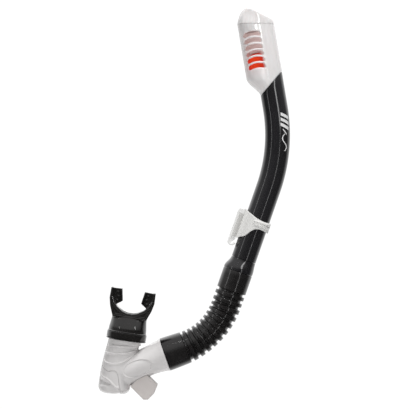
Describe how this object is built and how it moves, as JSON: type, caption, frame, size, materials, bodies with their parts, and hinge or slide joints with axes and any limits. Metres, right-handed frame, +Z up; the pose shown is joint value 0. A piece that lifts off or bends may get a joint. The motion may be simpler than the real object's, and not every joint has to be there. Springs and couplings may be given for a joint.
{
  "type": "snorkel tube",
  "caption": "Dry-top snorkel: float-valve cap, rigid bent tube with a sliding mask-strap keeper, corrugated hose, purge housing and a silicone mouthpiece.",
  "frame": {"origin": "centre of the slot in the keeper that the mask strap passes through", "axes": "+Z up along the snorkel, +X from the mouthpiece side towards the tube side, +Y across the snorkel, square to the plane that its bends lie in"},
  "size_m": [0.2109, 0.0455, 0.4298],
  "materials": {
    "white_plastic": "glossy white moulded plastic",
    "inner_plastic": "satin pale grey moulded plastic",
    "tube_black": "high gloss black plastic",
    "hose_silicone": "glossy black silicone",
    "mouth_silicone": "glossy black silicone",
    "hook_plastic": "milky translucent plastic",
    "float_red": "orange-red plastic",
    "seal_silicone": "pale translucent silicone",
    "deflector_plastic": "satin warm grey plastic"
  },
  "bodies": {
    "keeper": {"keeper_clip": "white_plastic", "strap_hook": "hook_plastic"},
    "tube": {"upper_tube": "tube_black", "cap_shell": "white_plastic", "cap_lid": "white_plastic", "chamber_frame": "inner_plastic", "valve_seat": "seal_silicone", "cap_oring": "hose_silicone", "hose_collar": "tube_black"},
    "float": {"float_shell": "float_red", "float_plug": "float_red", "float_seal": "seal_silicone"},
    "hose": {"flex_hose": "hose_silicone"},
    "housing": {"lower_housing": "white_plastic", "sump_cover": "white_plastic", "purge_seat": "inner_plastic", "exhaust_deflector": "deflector_plastic"},
    "purge_valve": {"purge_diaphragm": "seal_silicone"},
    "mouth": {"mouthpiece": "mouth_silicone", "mouthpiece_band": "mouth_silicone"}
  },
  "joints": [
    {"name": "keeper_slide", "type": "slide", "parent": "keeper", "child": "tube", "axis": [0.3289, 0, 0.9444], "range_m": [-0.028, 0.014]},
    {"name": "float_rise", "type": "slide", "parent": "tube", "child": "float", "axis": [-0.165, 0, 0.9863], "range_m": [0, 0.0215]},
    {"name": "hose_twist", "type": "hinge", "parent": "tube", "child": "hose", "pos_m": [0.00051, 0, -0.05037], "axis": [0.3289, 0, 0.9444], "range_deg": [-90, 90]},
    {"name": "hose_bend", "type": "hinge", "parent": "hose", "child": "housing", "pos_m": [-0.02461, 0, -0.12252], "axis": [0, 1, 0], "range_deg": [-20, 30], "stiffness_Nm_per_rad": 1.2, "deforming": ["flex_hose"]},
    {"name": "purge_lift", "type": "slide", "parent": "housing", "child": "purge_valve", "axis": [0.7071, 0, -0.7071], "range_m": [0, 0.0015], "stiffness_N_per_m": 60},
    {"name": "mouthpiece_swivel", "type": "hinge", "parent": "housing", "child": "mouth", "pos_m": [-0.1227, 0, -0.126], "axis": [0.1564, 0, 0.9877], "range_deg": [-90, 90]}
  ]
}
